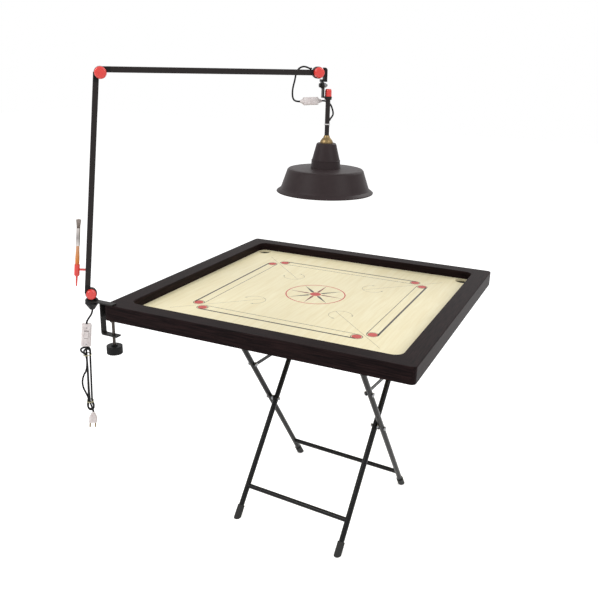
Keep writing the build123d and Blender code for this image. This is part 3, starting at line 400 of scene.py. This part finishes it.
# ---------------------------------------------------------------- battens and pocket nets
# Planed softwood battens carry the plywood. The pockets are small pouches of black knotted cotton net.
pine, shader = new_material("planed_pine", Roughness=0.6)
where = add(pine, "ShaderNodeTexCoord")
RING_WIDTH = 5 * MM
stretch = add(pine, "ShaderNodeMapping", links={"Vector": where.outputs["Object"]},
              Scale=(1 / RING_WIDTH, 0.05 / RING_WIDTH, 1 / RING_WIDTH))
year = add(pine, "ShaderNodeTexNoise", links={"Vector": stretch.outputs["Vector"]}, Scale=1.0, Detail=4.0)
tint = add(pine, "ShaderNodeValToRGB", links={"Fac": year.outputs["Fac"]})
tint.color_ramp.elements[0].color, tint.color_ramp.elements[1].color = linear("#A9804F"), linear("#D2AC78")
pine.node_tree.links.new(tint.outputs["Color"], shader.inputs["Base Color"])
finish_node(pine, "support_battens")

net, shader = new_material("cotton_net", Base_Color=linear("#1A1817"), Roughness=0.9)
MESH_SIZE = 4 * MM
where = add(net, "ShaderNodeTexCoord")
knots = add(net, "ShaderNodeTexVoronoi", {"feature": "DISTANCE_TO_EDGE"}, {"Vector": where.outputs["Object"]},
            Scale=1 / MESH_SIZE)
bump = add(net, "ShaderNodeBump", {"invert": True}, {"Height": knots.outputs["Distance"]}, Strength=0.8, Distance=MM)
net.node_tree.links.new(bump.outputs["Normal"], shader.inputs["Normal"])
finish_node(net, "pocket_nets")

# ---------------------------------------------------------------- stand
# Two crossed leg frames of 16 mm steel tube, welded and stove-enamelled black, with flat steel braces, zinc-plated
# bolts and studs, and moulded rubber shoes.
enamel, shader = new_material("stove_enamel", Base_Color=linear("#0E0E0F"), Specular_IOR_Level=0.2)
where = add(enamel, "ShaderNodeTexCoord")
orange = add(enamel, "ShaderNodeTexNoise", links={"Vector": where.outputs["Object"]}, Scale=1 / (3 * MM), Detail=2.0)
rough = add(enamel, "ShaderNodeMapRange", links={"Value": orange.outputs["Fac"]}, To_Min=0.2, To_Max=0.36)
bump = add(enamel, "ShaderNodeBump", links={"Height": orange.outputs["Fac"]}, Strength=0.1, Distance=0.2 * MM)
enamel.node_tree.links.new(rough.outputs["Result"], shader.inputs["Roughness"])
enamel.node_tree.links.new(bump.outputs["Normal"], shader.inputs["Normal"])
finish_node(enamel, *(f"{pair}_{part}" for pair in ("outer", "inner") for part in ("leg_left", "leg_right", "top_bar", "low_bar")),
            "brace_left", "brace_right")

rubber, shader = new_material("moulded_rubber", Base_Color=linear("#141414"), Roughness=0.75)
where = add(rubber, "ShaderNodeTexCoord")
bloom = add(rubber, "ShaderNodeTexNoise", links={"Vector": where.outputs["Object"]}, Scale=1 / (2 * MM), Detail=3.0)
tint = add(rubber, "ShaderNodeValToRGB", links={"Fac": bloom.outputs["Fac"]})
tint.color_ramp.elements[0].color, tint.color_ramp.elements[1].color = linear("#111111"), linear("#242322")
rubber.node_tree.links.new(tint.outputs["Color"], shader.inputs["Base Color"])
finish_node(rubber, "outer_shoes", "inner_shoes")


def plated(name, colour, roughness, grain=0.6 * MM):
    """Plated or bare steel, with fine scratches that vary its gloss."""
    made, shader = new_material(name, Base_Color=linear(colour), Metallic=1.0)
    where = add(made, "ShaderNodeTexCoord")
    scratch = add(made, "ShaderNodeTexNoise", links={"Vector": where.outputs["Object"]}, Scale=1 / grain, Detail=3.0)
    rough = add(made, "ShaderNodeMapRange", links={"Value": scratch.outputs["Fac"]}, To_Min=roughness - 0.08,
                To_Max=roughness + 0.1)
    made.node_tree.links.new(rough.outputs["Result"], shader.inputs["Roughness"])
    return made


zinc = plated("zinc_plate", "#8E8F92", 0.35)
finish_node(zinc, "stand_bolts", "pivot_washers", "brace_studs", "thumb_nut")

# ---------------------------------------------------------------- clamp
# A bent steel strap over the left rail, painted dark grey, with a bare screw and a ribbed black knob below.
paint, shader = new_material("clamp_paint", Roughness=0.42, Specular_IOR_Level=0.15)
where = add(paint, "ShaderNodeTexCoord")
chip = add(paint, "ShaderNodeTexNoise", links={"Vector": where.outputs["Object"]}, Scale=1 / (2.5 * MM), Detail=3.0)
tint = add(paint, "ShaderNodeValToRGB", links={"Fac": chip.outputs["Fac"]})
tint.color_ramp.elements[0].color, tint.color_ramp.elements[1].color = linear("#1B1A19"), linear("#2C2A28")
paint.node_tree.links.new(tint.outputs["Color"], shader.inputs["Base Color"])
finish_node(paint, "clamp_bracket", "link_strap", "hanger_strap", "link_bolt")
bare = plated("bare_steel", "#4A4541", 0.42)
finish_node(bare, "clamp_screw", "clamp_pad")

phenolic, shader = new_material("moulded_black_abs", Base_Color=linear("#0F0F10"), Roughness=0.45, Specular_IOR_Level=0.2)
where = add(phenolic, "ShaderNodeTexCoord")
spark = add(phenolic, "ShaderNodeTexNoise", links={"Vector": where.outputs["Object"]}, Scale=1 / (0.8 * MM), Detail=2.0)
bump = add(phenolic, "ShaderNodeBump", links={"Height": spark.outputs["Fac"]}, Strength=0.15, Distance=0.15 * MM)
phenolic.node_tree.links.new(bump.outputs["Normal"], shader.inputs["Normal"])
finish_node(phenolic, "cord_gland", "post_lugs", "arm_lugs", "lamp_holder", "clamp_knob", "lamp_turret", "link_head")

# ---------------------------------------------------------------- lamp's tubes, turret, link and knobs
# Square steel tube lacquered dark brown. The joints' knobs, the cap nut and the brush's holder are glossy red ABS.
lacquer, shader = new_material("brown_lacquer", Roughness=0.34, Specular_IOR_Level=0.2)
where = add(lacquer, "ShaderNodeTexCoord")
mottle = add(lacquer, "ShaderNodeTexNoise", links={"Vector": where.outputs["Object"]}, Scale=1 / (5 * MM), Detail=3.0)
tint = add(lacquer, "ShaderNodeValToRGB", links={"Fac": mottle.outputs["Fac"]})
tint.color_ramp.elements[0].color, tint.color_ramp.elements[1].color = linear("#1C1818"), linear("#2B2524")
lacquer.node_tree.links.new(tint.outputs["Color"], shader.inputs["Base Color"])
finish_node(lacquer, "post_tube", "arm_tube", "hanger_rod")

red_abs, shader = new_material("red_abs", Roughness=0.22, IOR=1.5, Coat_Weight=0.2, Coat_Roughness=0.05)
where = add(red_abs, "ShaderNodeTexCoord")
swirl = add(red_abs, "ShaderNodeTexNoise", links={"Vector": where.outputs["Object"]}, Scale=1 / (6 * MM), Detail=1.0)
tint = add(red_abs, "ShaderNodeValToRGB", links={"Fac": swirl.outputs["Fac"]})
tint.color_ramp.elements[0].color, tint.color_ramp.elements[1].color = linear("#DE3632"), linear("#F04A41")
red_abs.node_tree.links.new(tint.outputs["Color"], shader.inputs["Base Color"])
finish_node(red_abs, "tilt_knob", "elbow_knob", "end_knob", "cap_nut", "brush_holder")

# ---------------------------------------------------------------- shade, brass cap and bulb
# Spun sheet in a satin brown-black lacquer, on a dulled brass cap, over an opal glass lamp.
spun, shader = new_material("spun_lacquered_sheet", Specular_IOR_Level=0.1)
where = add(spun, "ShaderNodeTexCoord")
haze = add(spun, "ShaderNodeTexNoise", links={"Vector": where.outputs["Object"]}, Scale=1 / (14 * MM), Detail=3.0)
rough = add(spun, "ShaderNodeMapRange", links={"Value": haze.outputs["Fac"]}, To_Min=0.34, To_Max=0.5)
tint = add(spun, "ShaderNodeValToRGB", links={"Fac": haze.outputs["Fac"]})
tint.color_ramp.elements[0].color, tint.color_ramp.elements[1].color = linear("#322A2B"), linear("#3A3132")
spun.node_tree.links.new(tint.outputs["Color"], shader.inputs["Base Color"])
spun.node_tree.links.new(rough.outputs["Result"], shader.inputs["Roughness"])
finish_node(spun, "shade_neck", "shade_dish")
brass = plated("tarnished_brass", "#84704E", 0.4, 3 * MM)
finish_node(brass, "brass_cap", "plug_pins")
opal, shader = new_material("opal_glass", Base_Color=linear("#F4F1EA"), Roughness=0.18, Subsurface_Weight=0.3)
finish_node(opal, "bulb")

# ---------------------------------------------------------------- brush
# A soft brush for the powder, stood in a cup on the post: a lacquered handle that fades from orange to red at the
# cup, a rolled aluminium ferrule, and pale hair that darkens where it enters the ferrule.
POST_LEAN = math.radians(5.9)
POST_FOOT = 46
BRUSH_OUT = -37.5
HANDLE_FOOT, HANDLE_END, HAIR_ROOT, HAIR_TIP = 48, 126, 172, 197.5


def post_point(places):
    """Millimetres across, along and in front of the post, turned to the frame: the lamp's plane leaned by the post."""
    p = np.atleast_2d(np.asarray(places, float))
    x, y = p[:, 0], p[:, 1]
    s = x * math.cos(POST_LEAN) + y * math.sin(POST_LEAN)
    z = POST_FOOT - x * math.sin(POST_LEAN) + y * math.cos(POST_LEAN)
    return lamp_point(np.c_[s, z, p[:, 2]])


def graded(name, low, high, stops, streak, roughness, metallic=0.0):
    """A finish whose colour runs up the brush between two heights, broken by fine streaks along it."""
    made, shader = new_material(name, Roughness=roughness, Metallic=metallic)
    where = add(made, "ShaderNodeTexCoord")
    axis = add(made, "ShaderNodeSeparateXYZ", links={"Vector": where.outputs["Object"]})
    grain = add(made, "ShaderNodeMapping", links={"Vector": where.outputs["Object"]}, Scale=(1 / streak, 1 / streak, 0.04 / streak))
    line = add(made, "ShaderNodeTexNoise", links={"Vector": grain.outputs["Vector"]}, Scale=1.0, Detail=2.0)
    jitter = add(made, "ShaderNodeMapRange", links={"Value": line.outputs["Fac"]}, To_Min=-0.004, To_Max=0.004)
    height = add(made, "ShaderNodeMath", {"operation": "ADD"}, {0: axis.outputs["Z"], 1: jitter.outputs["Result"]})
    share = add(made, "ShaderNodeMapRange", links={"Value": height.outputs[0]}, From_Min=low, From_Max=high)
    tint = add(made, "ShaderNodeValToRGB", links={"Fac": share.outputs["Result"]})
    for k, (place, colour) in enumerate(stops):
        stop = tint.color_ramp.elements[k] if k < 2 else tint.color_ramp.elements.new(place)
        stop.position, stop.color = place, linear(colour)
    made.node_tree.links.new(tint.outputs["Color"], shader.inputs["Base Color"])
    bump = add(made, "ShaderNodeBump", links={"Height": line.outputs["Fac"]}, Strength=0.2, Distance=0.2 * MM)
    made.node_tree.links.new(bump.outputs["Normal"], shader.inputs["Normal"])
    return made


heights = {y: float(post_point((BRUSH_OUT, y, 0))[0, 2]) for y in (HANDLE_FOOT, HANDLE_END, HAIR_ROOT, HAIR_TIP)}
handle = graded("lacquered_beech", heights[HANDLE_FOOT], heights[HANDLE_END],
                ((0.25, "#DB4427"), (0.5, "#D98232"), (1.0, "#D9A27C")), 0.8 * MM, 0.3)
finish_node(handle, "brush_handle")
ferrule = graded("rolled_aluminium", heights[HANDLE_END], heights[HAIR_ROOT],
                 ((0.0, "#D8D2CF"), (0.45, "#9A9492"), (1.0, "#C9C2BE")), 0.5 * MM, 0.34, 0.7)
finish_node(ferrule, "brush_ferrule")
hair = graded("bleached_hair", heights[HAIR_ROOT], heights[HAIR_TIP],
              ((0.0, "#84766D"), (0.4, "#BDAFA6"), (1.0, "#D6CBC4")), 0.4 * MM, 0.75)
STRANDS, JOINTS, SIDES = 340, 6, 3
ROOT_SIZE, TIP_SIZE, STRAND_R = np.array((4.1, 3.7)), np.array((6.6, 2.8)), 0.24
draws = np.random.default_rng(7)


def tuft():
    """Tapered strands from the ferrule to a flat, slightly ragged tip.

    Formula: roots spread evenly over an ellipse, k-th at radius sqrt(k/n) and angle k times the golden angle; each
    line runs to the same place in the tip's ellipse, as root + (tip - root) * u ** 1.3, with radius r * (1 - 0.6 u)."""
    k = np.arange(STRANDS)
    far, angle = np.sqrt((k + 0.5) / STRANDS), k * math.pi * (3 - math.sqrt(5))
    unit = np.c_[far * np.cos(angle), far * np.sin(angle)]
    tips = unit * TIP_SIZE + draws.uniform(-0.35, 0.35, unit.shape)
    length = (HAIR_TIP - HAIR_ROOT) * (1 - 0.1 * far ** 2) - draws.uniform(0, 1.6, STRANDS)
    u = np.linspace(0, 1, JOINTS)
    middle = unit[:, None] * ROOT_SIZE + (tips - unit * ROOT_SIZE)[:, None] * u[None, :, None] ** 1.3
    a = np.linspace(0, 2 * np.pi, SIDES, endpoint=False)
    edge = STRAND_R * (1 - 0.6 * u)[:, None, None] * np.c_[np.cos(a), np.sin(a)][None]
    flat = middle[:, :, None] + edge[None]
    along = HAIR_ROOT - 1 + length[:, None, None] * u[None, :, None] + np.zeros((1, 1, SIDES))
    points = post_point(np.stack([BRUSH_OUT + flat[..., 0], along, flat[..., 1]], axis=-1).reshape(-1, 3))
    i, j = np.meshgrid(np.arange(JOINTS - 1), np.arange(SIDES), indexing="ij")
    j2 = (j + 1) % SIDES
    quad = np.stack([i * SIDES + j, (i + 1) * SIDES + j, (i + 1) * SIDES + j2, i * SIDES + j2], axis=-1).reshape(-1, 4)
    quads = (quad[None] + (k * JOINTS * SIDES)[:, None, None]).reshape(-1, 4)
    ends = np.array(((0, 1, 2), tuple((JOINTS - 1) * SIDES + n for n in (2, 1, 0))))
    caps = (ends[None] + (k * JOINTS * SIDES)[:, None, None]).reshape(-1, 3)
    return points, quads.tolist() + caps.tolist()


def face_out(piece):
    """Turns every closed surface of a piece so that its faces point outwards."""
    shape = bmesh.new()
    shape.from_mesh(piece.data)
    bmesh.ops.recalc_face_normals(shape, faces=shape.faces)
    shape.to_mesh(piece.data)
    shape.free()
    return piece


strands = face_out(mesh_piece("hair_strands", *tuft(), hair))
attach(strands, "brush")
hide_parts("brush_bristles")

# ---------------------------------------------------------------- switch, connector and plug
# White urea mouldings, slightly pink with age and handling, with a fine spark texture from the mould. Two small
# screws hold the switch's halves together.
white, shader = new_material("white_urea", Roughness=0.38)
where = add(white, "ShaderNodeTexCoord")
handling = add(white, "ShaderNodeTexNoise", links={"Vector": where.outputs["Object"]}, Scale=1 / (9 * MM), Detail=3.0)
tint = add(white, "ShaderNodeValToRGB", links={"Fac": handling.outputs["Fac"]})
tint.color_ramp.elements[0].position, tint.color_ramp.elements[1].position = 0.3, 0.65
tint.color_ramp.elements[0].color, tint.color_ramp.elements[1].color = linear("#D9CDCC"), linear("#EEE6E4")
white.node_tree.links.new(tint.outputs["Color"], shader.inputs["Base Color"])
spark = add(white, "ShaderNodeTexNoise", links={"Vector": where.outputs["Object"]}, Scale=1 / (0.7 * MM), Detail=2.0)
bump = add(white, "ShaderNodeBump", links={"Height": spark.outputs["Fac"]}, Strength=0.04, Distance=0.1 * MM)
white.node_tree.links.new(bump.outputs["Normal"], shader.inputs["Normal"])
finish_node(white, "switch_case", "switch_rocker", "cord_connector", "supply_plug")

SWITCH_FACE, SCREW_HEAD_R, SCREW_HEAD_H = 10.0, 1.7, 0.5
SCREWS_AT = (0.13, 0.88)


def pan_head(share):
    """A low round screw head on the switch's face, a share of the way down it.

    Formula: rings of radius R cos(v) at height H sin(v) over the face, from the rim at v = 0 to the middle."""
    middle = SWITCH_TOP + (SWITCH_END - SWITCH_TOP) * share
    v = np.linspace(0, math.pi / 2, 5)[:-1]
    a = np.linspace(0, 2 * np.pi, 20, endpoint=False)
    r, h = np.r_[SCREW_HEAD_R, SCREW_HEAD_R * np.cos(v)], np.r_[-0.4, SCREW_HEAD_H * np.sin(v)]
    rings = np.stack([middle[0] + r[:, None] * np.cos(a), middle[1] + r[:, None] * np.sin(a),
                      SWITCH_FACE + h[:, None] + 0 * a], axis=-1).reshape(-1, 3)
    poles = np.array(((middle[0], middle[1], SWITCH_FACE - 0.4), (middle[0], middle[1], SWITCH_FACE + SCREW_HEAD_H)))
    n, rows = len(a), len(r)
    i, j = np.meshgrid(np.arange(rows - 1), np.arange(n), indexing="ij")
    quads = np.stack([i * n + j, i * n + (j + 1) % n, (i + 1) * n + (j + 1) % n, (i + 1) * n + j], axis=-1).reshape(-1, 4)
    k = np.arange(n)
    foot = np.c_[(k + 1) % n, k, np.full(n, rows * n)]
    cap = np.c_[(rows - 1) * n + k, (rows - 1) * n + (k + 1) % n, np.full(n, rows * n + 1)]
    return lamp_point(np.vstack([rings, poles])), quads.tolist() + foot.tolist() + cap.tolist()


for number, share in enumerate(SCREWS_AT):
    head = face_out(mesh_piece(f"switch_screw_{number + 1}", *pan_head(share), zinc))
    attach(head, "board")

# ---------------------------------------------------------------- ties
# The hank is bound above and below with paper-covered wire, and the lamp's lead is held to the rod by a thin
# white nylon tie.


def band(middle, half_s, half_t, width, thick):
    """A flat band round a bundle, at right angles to it.

    Formula: a superellipse |x / a| ** 3 + |y / b| ** 3 = 1 carried round as a closed ring of four corners."""
    a = np.linspace(0, 2 * np.pi, 56, endpoint=False)
    x, y = (np.sign(f(a)) * np.abs(f(a)) ** (2 / 3) for f in (np.cos, np.sin))
    corners = ((0, -width / 2), (thick, -width / 2), (thick, width / 2), (0, width / 2))
    rings = [
        np.c_[middle[0] + (half_s + grow) * x, np.full(len(a), middle[1] + lift), middle[2] + (half_t + grow) * y]
        for grow, lift in corners
    ]
    n = len(a)
    i, j = np.meshgrid(np.arange(4), np.arange(n), indexing="ij")
    i2, j2 = (i + 1) % 4, (j + 1) % n
    quads = np.stack([i * n + j, i2 * n + j, i2 * n + j2, i * n + j2], axis=-1).reshape(-1, 4)
    return lamp_point(np.vstack(rings)), quads.tolist()


def tie_finish(name, low, high, grain):
    """A thin band's covering: two close shades in blotches of a given size, and a faint crinkle."""
    made, shader = new_material(name, Roughness=0.6)
    where = add(made, "ShaderNodeTexCoord")
    blotch = add(made, "ShaderNodeTexNoise", links={"Vector": where.outputs["Object"]}, Scale=1 / grain, Detail=2.0)
    tint = add(made, "ShaderNodeValToRGB", links={"Fac": blotch.outputs["Fac"]})
    tint.color_ramp.elements[0].color, tint.color_ramp.elements[1].color = linear(low), linear(high)
    bump = add(made, "ShaderNodeBump", links={"Height": blotch.outputs["Fac"]}, Strength=0.3, Distance=0.2 * MM)
    made.node_tree.links.new(tint.outputs["Color"], shader.inputs["Base Color"])
    made.node_tree.links.new(bump.outputs["Normal"], shader.inputs["Normal"])
    return made


paper, nylon = tie_finish("paper_tie", "#8F8763", "#C9C29E", 1.5 * MM), tie_finish("nylon_tie", "#DCD8D6", "#F0EDEC", 2 * MM)
ROD_AT, TIE_HEIGHT = 633, 478
for name, body, finish, shape in (
    ("hank_tie_upper", "board", paper, ((-21.3, -124, 5.1), 10.2, 10.0, 2.6, 0.8)),
    ("hank_tie_lower", "board", paper, ((-22.4, -262, 5.1), 8.2, 10.2, 2.6, 0.8)),
    ("rod_tie", "hanger", nylon, ((ROD_AT, TIE_HEIGHT, 0), 6.5, 6.5, 2.4, 0.9)),
):
    tie = face_out(mesh_piece(name, *band(*shape), finish))
    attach(tie, body)

# ---------------------------------------------------------------- floor, backdrop and light
# A pale floor and sky, and large soft lamps: one high in front on the left, one on the right, one behind.
FLOOR_Z = float(cad_box[0][2])
floor_mesh = bpy.data.meshes.new("studio_floor")
REACH = 12.0
floor_mesh.from_pydata(
    [(-REACH, -REACH, FLOOR_Z), (REACH, -REACH, FLOOR_Z), (REACH, REACH, FLOOR_Z), (-REACH, REACH, FLOOR_Z)], [], [(0, 1, 2, 3)]
)
floor = bpy.data.objects.new("studio_floor", floor_mesh)
bpy.context.scene.collection.objects.link(floor)
pale, shader = new_material("pale_floor", Base_Color=linear("#F2F2F2"), Roughness=0.9, Specular_IOR_Level=0.1)
path = add(pale, "ShaderNodeLightPath")
seen = add(pale, "ShaderNodeMath", {"operation": "MAXIMUM"}, {0: path.outputs["Is Camera Ray"], 1: path.outputs["Is Glossy Ray"]})
lift = add(pale, "ShaderNodeMath", {"operation": "MULTIPLY"}, {0: seen.outputs[0]}, input_1=0.62)
shader.inputs["Emission Color"].default_value = (1, 1, 1, 1)
pale.node_tree.links.new(lift.outputs[0], shader.inputs["Emission Strength"])
floor_mesh.materials.append(pale)

world = bpy.data.worlds.new("studio_sky")
bpy.context.scene.world = world
world.use_nodes = True
sky = world.node_tree.nodes["Background"]
sky.inputs["Color"].default_value = (1, 1, 1, 1)
path = world.node_tree.nodes.new("ShaderNodeLightPath")
strength = world.node_tree.nodes.new("ShaderNodeMapRange")
either = world.node_tree.nodes.new("ShaderNodeMath")
either.operation = "MAXIMUM"
world.node_tree.links.new(path.outputs["Is Camera Ray"], either.inputs[0])
world.node_tree.links.new(path.outputs["Is Glossy Ray"], either.inputs[1])
world.node_tree.links.new(either.outputs[0], strength.inputs["Value"])
SKY_LIGHT = 0.55
strength.inputs["To Min"].default_value, strength.inputs["To Max"].default_value = SKY_LIGHT, 1.0
world.node_tree.links.new(strength.outputs["Result"], sky.inputs["Strength"])


def soft_lamp(name, at, size, power):
    """A square area lamp that faces the board's middle."""
    data = bpy.data.lights.new(name, "AREA")
    data.size, data.energy = size, power
    made = bpy.data.objects.new(name, data)
    made.matrix_world = Matrix.Translation(at) @ (Vector((0, 0, 0.1)) - Vector(at)).to_track_quat("-Z", "Y").to_matrix().to_4x4()
    bpy.context.scene.collection.objects.link(made)


soft_lamp("key_softbox", (-1.6, -2.6, 2.6), 1.6, 55)
soft_lamp("side_softbox", (2.8, -0.8, 2.0), 1.6, 30)
soft_lamp("back_softbox", (0.4, 2.6, 2.4), 1.4, 25)

view = bpy.context.scene.view_settings
view.view_transform = "Standard"
